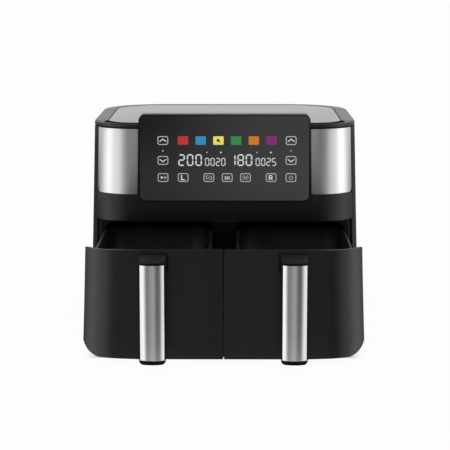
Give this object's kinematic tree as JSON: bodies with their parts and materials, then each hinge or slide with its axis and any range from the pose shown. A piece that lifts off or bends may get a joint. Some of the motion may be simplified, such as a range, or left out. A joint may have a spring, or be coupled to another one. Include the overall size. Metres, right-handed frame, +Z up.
{
  "type": "air fryer",
  "caption": "Two-drawer air fryer: black cabinet with steel corners and top, raised touch panel, and pull-out baskets with upright steel-faced handles and crisper plates.",
  "frame": {"origin": "bottom centre of the whole object as stored, with both drawers out", "axes": "+Z up, +X to the right seen from the front, the drawers pull out towards -Y"},
  "size_m": [0.3858, 0.56, 0.3015],
  "materials": {
    "gloss_black": "gloss black moulding",
    "satin_black": "satin black moulding",
    "brushed_steel": "brushed stainless steel",
    "coated_metal": "dark non-stick coating",
    "plain_steel": "plain pressed steel",
    "panel_glass": "gloss black touch panel",
    "rubber": "black rubber",
    "silicone": "dark silicone",
    "board": "green circuit board",
    "pale_plastic": "pale heat-resistant plastic",
    "coated_steel": "dark grey coated steel",
    "plain_aluminium": "stamped aluminium"
  },
  "bodies": {
    "cabinet": {"base_tray": "satin_black", "body_shell": "satin_black", "mouth_frame": "satin_black", "top_cover": "satin_black", "console_housing": "satin_black", "rear_vent": "satin_black", "cord_gland": "satin_black", "front_fascia": "gloss_black", "top_plate": "brushed_steel", "console_glass": "panel_glass", "control_board": "board", "power_board": "board", "motor_plate": "plain_steel", "steel_panel_right": "brushed_steel", "steel_panel_left": "brushed_steel", "liner_right": "coated_steel", "liner_left": "coated_steel", "heater_chamber_right": "plain_steel", "heater_chamber_left": "plain_steel", "heater_guard_right": "plain_steel", "heater_guard_left": "plain_steel", "heater_coil_right": "plain_steel", "heater_coil_left": "plain_steel", "fan_motor_right": "plain_steel", "fan_motor_left": "plain_steel", "front_foot_right": "rubber", "front_foot_left": "rubber", "rear_foot_right": "rubber", "rear_foot_left": "rubber"},
    "drawer_right": {"drawer_front_right": "gloss_black", "drawer_inner_panel_right": "satin_black", "pan_right": "coated_metal", "handle_core_right": "satin_black", "handle_trim_right": "brushed_steel", "handle_screw_1_right": "plain_steel", "handle_screw_2_right": "plain_steel"},
    "crisper_right": {"crisper_plate_right": "coated_metal", "crisper_bumper_1_right": "silicone", "crisper_bumper_2_right": "silicone", "crisper_bumper_3_right": "silicone", "crisper_bumper_4_right": "silicone"},
    "fan_right": {"convection_fan_right": "plain_aluminium", "cooling_fan_right": "pale_plastic", "fan_shaft_right": "plain_steel"},
    "drawer_left": {"drawer_front_left": "gloss_black", "drawer_inner_panel_left": "satin_black", "pan_left": "coated_metal", "handle_core_left": "satin_black", "handle_trim_left": "brushed_steel", "handle_screw_1_left": "plain_steel", "handle_screw_2_left": "plain_steel"},
    "crisper_left": {"crisper_plate_left": "coated_metal", "crisper_bumper_1_left": "silicone", "crisper_bumper_2_left": "silicone", "crisper_bumper_3_left": "silicone", "crisper_bumper_4_left": "silicone"},
    "fan_left": {"convection_fan_left": "plain_aluminium", "cooling_fan_left": "pale_plastic", "fan_shaft_left": "plain_steel"}
  },
  "joints": [
    {"name": "drawer_right_slide", "type": "slide", "parent": "cabinet", "child": "drawer_right", "axis": [0, -1, 0], "range_m": [-0.206, 0.035]},
    {"name": "crisper_right_lift", "type": "slide", "parent": "drawer_right", "child": "crisper_right", "axis": [0, 0, 1], "range_m": [0, 0.108]},
    {"name": "fan_right_spin", "type": "hinge", "parent": "cabinet", "child": "fan_right", "pos_m": [0.093, 0.116, 0.18], "axis": [0, 0, 1], "continuous": true},
    {"name": "drawer_left_slide", "type": "slide", "parent": "cabinet", "child": "drawer_left", "axis": [0, -1, 0], "range_m": [-0.206, 0.035]},
    {"name": "crisper_left_lift", "type": "slide", "parent": "drawer_left", "child": "crisper_left", "axis": [0, 0, 1], "range_m": [0, 0.108]},
    {"name": "fan_left_spin", "type": "hinge", "parent": "cabinet", "child": "fan_left", "pos_m": [-0.093, 0.116, 0.18], "axis": [0, 0, 1], "continuous": true}
  ]
}
